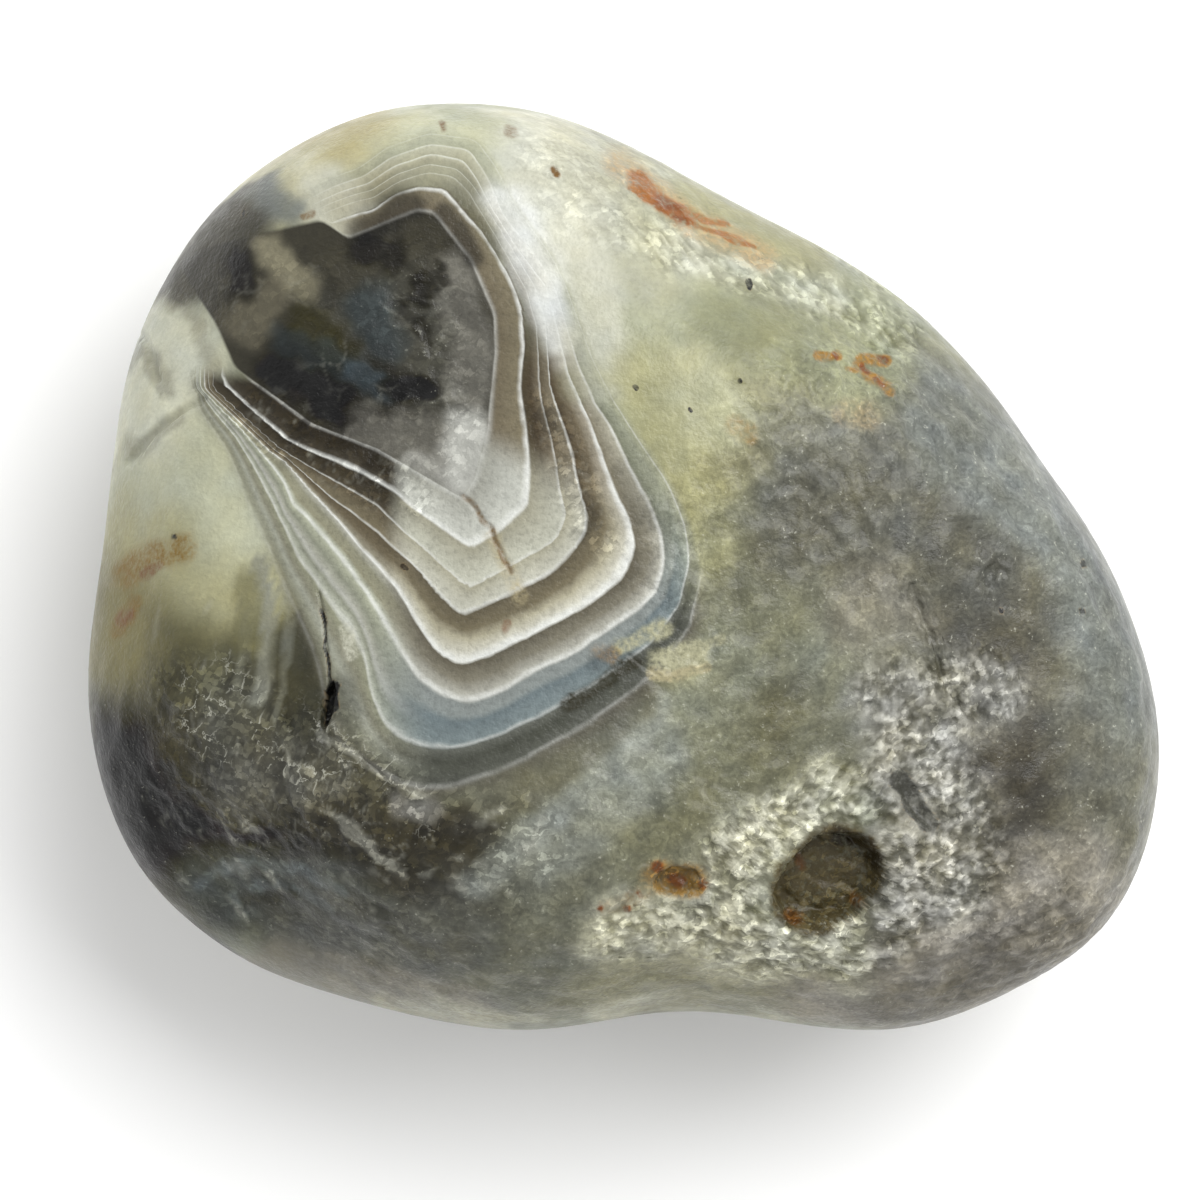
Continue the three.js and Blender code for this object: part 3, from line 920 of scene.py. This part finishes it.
# How far each zone changes the skin's tone, its white veil and its flakes
skinShares = {
    # hollow and crease lay painted shade in the low parts of the hammered relief and painted light on its
    # ridges
    "tone": {"crackle": 0.4, "glass": 0.22, "hollow": 0.3, "crease": 0.3, "flow": 0.45, "shade": 0.65},
    "toneLumps": {3.0: 0.24, 1.1: 0.3, 0.45: 0.3},  # size mm and share
    "veil": {"crackle": 0.22, "veins": 0.3, "glass": 0.1, "flow": 0.35},
    # the flakes are partly painted light: facets lit unevenly and a few painted glints
    "facets": {"chips": 0.22, "crackle": 0.8, "flow": 0.5, "core": 0.3, "crust": 0.6},
    "facetRange": (0.05, 0.9),
    "mottle": (4.0, 2.0, -4.0),  # 0 to 255, warm against cool
    "crustGrainAndShade": 95.0,  # 0 to 255, from the gaps to the grains: the grains' own white, with painted shade in the gaps
    "glassSize": 1.1,  # mm, of the core's cells
}


def paintSkin(stone, points, px, py):
    upper = upperShare(points)
    skin = np.tile(np.array(stoneColours["greyGreen"], float), (len(points), 1))
    brush(skin, px, py, skinPaint, upper=upper)
    brush(skin, *(toPixels(points) + wobble(points, *paintSpread["streaks"])), skinStreaks, 0.4, upper)
    for i, (name, size, strength) in enumerate(underPaint):
        patch = smoothStep(0.0, 0.4, lumpy(points + 13.0 * (i + 1), size, 3)) * (1.0 - upper)
        skin += (np.array(stoneColours[name]) - skin) * (strength * patch)[:, None]
    skin += np.outer(lumpy(points, 1.4) + 0.6 * lumpy(points, 0.6), skinShares["mottle"])
    grains = smoothStep(-0.6, 0.6, crustLumps(points))
    skin += skinShares["crustGrainAndShade"] * ((grains - 0.5) * crustCover(points, px, py))[:, None]
    core = np.tile(np.array(stoneColours["coreBrown"], float), (len(points), 1))
    brush(core, px, py, corePaint)
    brush(core, *(toPixels(points) + wobble(points, *paintSpread["glass"])), coreGlass, 0.45)
    writeColours(stone, "skinColour", skin)
    writeColours(stone, "coreColour", core)


def paintFinish(stone, points, px, py):
    upper = upperShare(points)
    crust = crustCover(points, px, py)
    chips = chipCover(points, px, py)
    crackle = zoneCover("crackle", px, py) * upper
    flowing = zoneCover("flow", px, py)
    level, angle = bandLevels(px, py)
    inCore = smoothStep(1.0, 0.9, level) * upper
    flow = lumpy(np.column_stack([level * 1.6, angle / 7.0, points[:, 2]]), 1.0, 3) * flowing * upper
    hollow, crease = hammerMarks(points)
    number, edge = mosaic(points, agateRelief["crackle"]["size"])
    glass, glassEdge = mosaic(points, skinShares["glassSize"])

    share = skinShares["tone"]
    tone = 1.0 + share["crackle"] * number * crackle + share["glass"] * glass * inCore
    # painted shade in the hammered hollows, painted light along the raised creases
    tone += (share["hollow"] * hollow + share["crease"] * crease) * chips
    tone += share["flow"] * flow - share["shade"] * zoneCover("shade", *toPixels(points))
    for size, lumpShare in skinShares["toneLumps"].items():
        tone += lumpShare * lumpy(points, size) * (0.25 + 0.75 * chips)

    share = skinShares["veil"]
    broken = smoothStep(-0.1, 0.3, lumpy(points, 0.8)) * crackle
    veil = share["crackle"] * smoothStep(0.1, 0.0, edge) * broken
    veins = smoothStep(0.06, 0.0, np.abs(lumpy(points, 1.5) + 0.3 * lumpy(points, 0.5)))
    veins = veins * smoothStep(-0.1, 0.3, lumpy(points, 0.9)) * zoneCover("veins", px, py)
    veil += share["veins"] * veins
    glassLines = smoothStep(0.1, 0.0, glassEdge) * inCore * smoothStep(0.0, 0.4, lumpy(points, 1.3))
    veil += share["glass"] * glassLines
    veil += share["flow"] * smoothStep(0.35, 0.6, flow)

    share = skinShares["facets"]
    facets = share["chips"] * chips + share["crackle"] * crackle + share["flow"] * flowing
    facets += share["core"] * inCore + share["crust"] * crust + zoneCover("pitFloor", px, py) * upper
    facets = np.clip(facets, *skinShares["facetRange"])
    cracks = zoneCover("cracks", px, py) * smoothStep(-0.3, 0.3, lumpy(points, 1.2)) * upper
    finish = {
        "crust": crust, "chips": chips, "facets": facets, "cracks": cracks, "veil": veil, "tone": tone,
    }
    for name, values in finish.items():
        writeFloats(stone, name, np.clip(values, 0.0, 2.0))


def paintAgate(stone):
    points = readPoints(stone)
    depth = smoothStep(photoView["rimHeight"], 1.0, points[:, 2])  # 1 on the underside
    px, py = toPixels(points) + wobble(points, *paintSpread["under"]) * depth
    paintBands(stone, points, px, py)
    spots = np.array([px, py])
    for size, reach in paintSpread["patches"]:
        spots += wobble(points, size, reach)
    steep = smoothStep(0.4, 0.1, np.abs(readNormals(stone)[:, 2]))
    px, py = spots + wobble(points, *paintSpread["sides"]) * steep
    paintSkin(stone, points, px, py)
    paintFinish(stone, points, px, py)
    paintStains(stone, points)
    strokes = skinPaint + skinStreaks + corePaint + coreGlass + stainPaint
    print("agate painted:", len(strokes), "strokes")


def paintStains(stone, points):
    px, py = toPixels(points) + wobble(points, *paintSpread["stains"])
    colours = np.tile(np.array(stoneColours["rustPale"], float), (len(points), 1))
    cover = np.zeros(len(points))
    for name, radius, strength, stroke in stainPaint:
        share = strength * softCover(px, py, radius, stroke, 0.15 if name in crispPaint else 0.5)
        weight = share / np.maximum(share + cover * (1.0 - share), 0.001)
        colours += (np.array(stoneColours[name]) - colours) * weight[:, None]
        cover = share + cover * (1.0 - share)
    writeColours(stone, "stainColour", colours)
    patchy = np.clip(0.9 + 0.5 * lumpy(points, 0.5), 0.0, 1.0)
    writeFloats(stone, "stain", cover * upperShare(points) * patchy)


def shapeAgate():
    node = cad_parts[agateForm["node"]]
    stone = blankStone(node)
    applyModifier(stone, "SMOOTH", factor=0.5, iterations=agateForm["facetPasses"])
    fillPits(stone)
    applyModifier(stone, "SUBSURF", levels=1, render_levels=1)
    inPits = nearPits(stone)
    splitFaces(stone, lambda points: fineZone(points) | inPits(points))
    splitFaces(stone, lambda points: nearStains(points, 6, 2.0) | nearCracks(points))
    digPits(stone)
    cutCracks(stone)
    roughenSkin(stone)
    points = readPoints(stone)
    points[:, 2] = np.maximum(points[:, 2], 0.0)
    writePoints(stone, points)
    onlySelect(stone)
    bpy.ops.object.shade_smooth()
    triangles = sum(len(face.vertices) - 2 for face in stone.data.polygons)
    print("agate shaped:", triangles, "triangles")
    return stone


# Colour between the lines on three stretches of the bands: level and colour
bandBodies = {
    "front": [
        (1.0, (162, 162, 152)), (1.92, (208, 210, 201)), (2.06, (164, 161, 142)), (2.95, (202, 203, 188)),
        (3.05, (175, 172, 152)), (3.95, (208, 208, 194)), (4.05, (104, 97, 82)), (4.4, (124, 116, 96)),
        (4.6, (184, 179, 156)), (4.8, (208, 206, 190)), (4.95, (226, 226, 214)), (5.08, (104, 99, 87)),
        (5.5, (134, 130, 116)), (5.95, (190, 190, 180)), (6.1, (140, 146, 144)), (6.35, (146, 153, 151)),
        (6.5, (114, 126, 130)), (6.95, (130, 142, 144)), (7.08, (104, 106, 100)), (7.4, (80, 82, 76)),
        (7.92, (96, 98, 92)), (8.08, (98, 95, 87)), (8.5, (84, 81, 73)),
    ],
    "left": [
        (1.0, (84, 80, 74)), (1.12, (50, 46, 41)), (1.5, (56, 51, 45)), (1.95, (78, 73, 65)),
        (2.06, (54, 49, 43)), (2.95, (76, 70, 60)), (3.06, (92, 84, 70)), (3.95, (126, 118, 98)),
        (4.06, (98, 89, 73)), (4.5, (116, 107, 89)), (4.95, (168, 164, 146)), (5.06, (180, 180, 168)),
        (5.3, (150, 149, 129)), (5.7, (153, 151, 129)), (5.95, (200, 204, 188)), (6.12, (174, 177, 157)),
        (6.32, (146, 149, 133)), (6.5, (172, 173, 160)), (6.62, (186, 187, 178)), (6.75, (147, 150, 134)),
        (6.95, (189, 192, 178)), (7.08, (150, 151, 130)), (7.3, (140, 139, 122)), (7.5, (166, 168, 154)),
        (7.7, (146, 147, 130)), (7.95, (116, 114, 100)),
    ],
    "right": [
        (1.0, (136, 132, 122)), (1.2, (122, 113, 95)), (1.95, (136, 128, 107)), (2.06, (84, 76, 62)),
        (2.5, (84, 74, 61)), (2.95, (120, 111, 95)), (3.06, (98, 89, 74)), (3.95, (130, 122, 105)),
        (4.06, (86, 76, 62)), (4.5, (120, 110, 92)), (4.95, (176, 170, 154)), (5.06, (138, 132, 114)),
        (5.95, (180, 177, 160)), (6.1, (132, 135, 117)), (6.6, (154, 157, 138)), (7.2, (170, 171, 143)),
    ],
}

# White lines: level, how far each fades inwards and outwards, and strength
bandWhites = [
    (1.0, 0.02, 0.14, 0.4), (2.0, 0.15, 0.08, 0.95), (3.0, 0.09, 0.05, 0.55), (4.0, 0.1, 0.05, 0.75),
    (5.0, 0.17, 0.06, 1.0), (6.0, 0.15, 0.07, 0.75), (7.0, 0.09, 0.06, 0.45), (8.0, 0.1, 0.1, 0.25),
]
bandWhite = (242, 244, 239)
levelSpan = 10.0  # levels from end to end of a colour ramp


def feed(tree, socket, value):
    if isinstance(value, bpy.types.NodeSocket):
        tree.links.new(value, socket)
    else:
        socket.default_value = value


def addNode(tree, kind, inputs, **settings):
    node = tree.nodes.new(kind)
    for name, value in settings.items():
        setattr(node, name, value)
    for name, value in inputs.items():
        feed(tree, node.inputs[name], value)
    return node


def calc(tree, operation, *values):
    return addNode(tree, "ShaderNodeMath", dict(enumerate(values)), operation=operation).outputs[0]


def spread(tree, value, low, high, toLow=0.0, toHigh=1.0):  # a soft step from low to high
    inputs = {"Value": value, "From Min": low, "From Max": high, "To Min": toLow, "To Max": toHigh}
    return addNode(tree, "ShaderNodeMapRange", inputs, interpolation_type="SMOOTHSTEP").outputs[0]


def blend(tree, share, first, second, way="MIX"):
    inputs = {0: share, 6: first, 7: second}
    return addNode(tree, "ShaderNodeMix", inputs, data_type="RGBA", blend_type=way).outputs[2]


def cloud(tree, place, scale, detail):  # about 0.3 to 0.7
    inputs = {"Vector": place, "Scale": scale, "Detail": detail, "Roughness": 0.6}
    return addNode(tree, "ShaderNodeTexNoise", inputs).outputs[0]


def readPaint(tree, name, output="Fac"):
    return addNode(tree, "ShaderNodeAttribute", {}, attribute_name=name).outputs[output]


def paintOf(rgb):
    return (*linearColour(rgb), 1.0)


def stopRamp(tree, share, stops):  # stops are place from 0 to 1 and colour
    node = addNode(tree, "ShaderNodeValToRGB", {"Fac": share})
    elements = node.color_ramp.elements
    for i, (at, colour) in enumerate(stops):
        spot = elements[i] if i < 2 else elements.new(at)
        spot.position = at
        spot.color = colour
    return node.outputs[0]


def levelRamp(tree, level, stops):  # stops are level and colour
    share = calc(tree, "DIVIDE", level, levelSpan)
    return stopRamp(tree, share, [(at / levelSpan, paint) for at, paint in stops])


def whiteStops():
    stops = [(0.0, 0.0)]
    for level, inwards, outwards, strength in bandWhites:
        stops += [(level - inwards, 0.0), (level, strength), (level + outwards, 0.0)]
    return [(level, (strength, strength, strength, 1.0)) for level, strength in stops]


def bandColour(tree, level, worn, crumbs):
    body = None
    for name, stops in bandBodies.items():
        colour = levelRamp(tree, level, [(at, paintOf(rgb)) for at, rgb in stops])
        body = colour if body is None else blend(tree, readPaint(tree, name + "Side"), body, colour)
    body = blend(tree, 1.0, body, crumbs, "MULTIPLY")
    white = calc(tree, "MULTIPLY", levelRamp(tree, level, whiteStops()), worn)
    return blend(tree, white, body, paintOf(bandWhite))


# Finish of the stone: textures by scale to a mm, shares from 0 to 1
agateFinish = {
    "haze": {"scale": 1.6, "detail": 1.5},
    "grit": {"scale": 6.0, "detail": 2.0},
    "flakes": {"turn": (0.5, 0.3, 0.7), "scale": (3.8, 5.2, 4.6), "crook": (2.4, 2.6, -2.6)},
    "flakeToneAndGlints": {"dull": 0.7, "gain": 1.2, "power": 3.0},
    "cracks": {"scale": 0.42, "edge": (0.06, 0.02), "kept": (0.2, 0.6)},
    "shadedTerraces": {"steps": 6.0, "tone": (0.88, 1.12)},
    "flecks": {"edge": (0.67, 0.73), "share": 0.4},
    "stainGrain": (1.8, 0.1),
    "speckle": (0.7, 0.3),  # on the chips and everywhere
    "polish": (0.28, 0.42),  # roughness
    "crustRoughness": 0.2,  # more than the polish
    "ior": 1.54,
    "specular": 0.22,
    "bump": {"height": 0.05, "strength": 0.7},  # mm
}


def layColours(tree, haze, grit):  # skin, bands, core and stains, one over the other
    level = readPaint(tree, "bandLevel")
    waver = spread(tree, level, 0.9, 1.5, 0.03, 0.12)
    level = calc(tree, "ADD", level, calc(tree, "MULTIPLY", calc(tree, "SUBTRACT", haze, 0.5), waver))
    insideCore = spread(tree, readPaint(tree, "coreShare"), 1.01, 0.98)
    skin = readPaint(tree, "skinColour", "Color")
    worn = spread(tree, haze, 0.3, 0.55, 0.6, 1.0)
    crumbs = spread(tree, grit, 0.3, 0.5, 0.9, 1.01)
    colour = blend(tree, readPaint(tree, "banded"), skin, bandColour(tree, level, worn, crumbs))
    colour = blend(tree, readPaint(tree, "milk"), colour, skin)
    colour = blend(tree, insideCore, colour, readPaint(tree, "coreColour", "Color"))
    colour = blend(tree, 1.0, colour, readPaint(tree, "tone"), "MULTIPLY")
    colour = blend(tree, readPaint(tree, "veil"), colour, paintOf(stoneColours["frost"]))
    feather = calc(tree, "MULTIPLY_ADD", grit, *agateFinish["stainGrain"])
    stain = spread(tree, calc(tree, "MULTIPLY", readPaint(tree, "stain"), feather), 0.0, 1.0)
    return blend(tree, stain, colour, readPaint(tree, "stainColour", "Color"))


def addFlakes(tree, colour, place, haze, grit):  # crooked flakes, most of them dull and a few bright: partly the skin's own flaky tone, partly painted light, as facets lit unevenly and a few painted glints
    flakes = agateFinish["flakes"]
    turned = addNode(tree, "ShaderNodeMapping", {
        "Vector": place, "Rotation": flakes["turn"], "Scale": flakes["scale"],
    })
    crook = addNode(tree, "ShaderNodeCombineXYZ", {
        "X": calc(tree, "MULTIPLY", haze, flakes["crook"][0]),
        "Y": calc(tree, "MULTIPLY", grit, flakes["crook"][1]),
        "Z": calc(tree, "MULTIPLY", haze, flakes["crook"][2]),
    })
    bent = addNode(tree, "ShaderNodeVectorMath", {0: turned.outputs[0], 1: crook.outputs[0]}, operation="ADD")
    cells = addNode(tree, "ShaderNodeVectorMath", {0: bent.outputs[0]}, operation="FLOOR")
    chance = addNode(tree, "ShaderNodeTexWhiteNoise", {"Vector": cells.outputs[0]}).outputs["Value"]
    flakeToneAndGlints = agateFinish["flakeToneAndGlints"]
    bright = calc(tree, "POWER", chance, flakeToneAndGlints["power"])
    flake = calc(tree, "MULTIPLY_ADD", bright, flakeToneAndGlints["gain"], flakeToneAndGlints["dull"])
    colour = blend(tree, readPaint(tree, "facets"), colour, flake, "MULTIPLY")
    return addCracks(tree, colour, bent.outputs[0], chance)


def addCracks(tree, colour, place, chance):  # broken white cracks between wider cells
    cracks = agateFinish["cracks"]
    net = addNode(tree, "ShaderNodeTexVoronoi", {"Vector": place, "Scale": cracks["scale"]},
                  voronoi_dimensions="2D", feature="DISTANCE_TO_EDGE").outputs["Distance"]
    crack = calc(tree, "MULTIPLY", spread(tree, net, *cracks["edge"]), spread(tree, chance, *cracks["kept"]))
    crack = calc(tree, "MULTIPLY", crack, readPaint(tree, "cracks"))
    return blend(tree, crack, colour, paintOf(stoneColours["frost"]))


def addChips(tree, colour, haze, grit):  # little terraces, with painted shade at the foot of each step and painted light towards its upper edge, then frosted flecks and speckle on the chips
    chips = readPaint(tree, "chips")
    shadedTerraces = agateFinish["shadedTerraces"]
    terrace = calc(tree, "FRACT", calc(tree, "MULTIPLY", haze, shadedTerraces["steps"]))
    colour = blend(tree, chips, colour, spread(tree, terrace, 0.0, 1.0, *shadedTerraces["tone"]), "MULTIPLY")
    flecks = agateFinish["flecks"]
    fleck = calc(tree, "MULTIPLY", spread(tree, grit, *flecks["edge"]), chips)
    frosted = calc(tree, "MULTIPLY", fleck, flecks["share"])
    colour = blend(tree, frosted, colour, paintOf(stoneColours["frost"]))
    grain = calc(tree, "MULTIPLY_ADD", chips, *agateFinish["speckle"])
    speckle = calc(tree, "MULTIPLY_ADD", calc(tree, "SUBTRACT", grit, 0.5), grain, 1.0)
    return blend(tree, 1.0, colour, speckle, "MULTIPLY")


def agateMaterial():
    material = bpy.data.materials.new("agateStone")
    material.use_nodes = True
    tree = material.node_tree
    shader = tree.nodes["Principled BSDF"]
    spot = addNode(tree, "ShaderNodeTexCoord", {}).outputs["Object"]
    perMm = (1 / mm, 1 / mm, 1 / mm)
    place = addNode(tree, "ShaderNodeMapping", {"Vector": spot, "Scale": perMm}).outputs[0]
    haze = cloud(tree, place, **agateFinish["haze"])
    grit = cloud(tree, place, **agateFinish["grit"])
    colour = layColours(tree, haze, grit)
    colour = addFlakes(tree, colour, place, haze, grit)
    feed(tree, shader.inputs["Base Color"], addChips(tree, colour, haze, grit))

    polish = spread(tree, haze, 0.3, 0.7, *agateFinish["polish"])
    rough = calc(tree, "MULTIPLY_ADD", readPaint(tree, "crust"), agateFinish["crustRoughness"], polish)
    feed(tree, shader.inputs["Roughness"], rough)
    shader.inputs["IOR"].default_value = agateFinish["ior"]
    shader.inputs["Specular IOR Level"].default_value = agateFinish["specular"]
    bump = agateFinish["bump"]
    relief = addNode(tree, "ShaderNodeBump", {
        "Height": grit, "Distance": bump["height"] * mm, "Strength": bump["strength"],
    })
    feed(tree, shader.inputs["Normal"], relief.outputs[0])
    print("agate finish set:", len(tree.nodes), "nodes")
    return material


setStudio()
setCamera()
agate = shapeAgate()
paintAgate(agate)
agate.data.materials.append(agateMaterial())
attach(agate, "root")
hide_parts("agate")
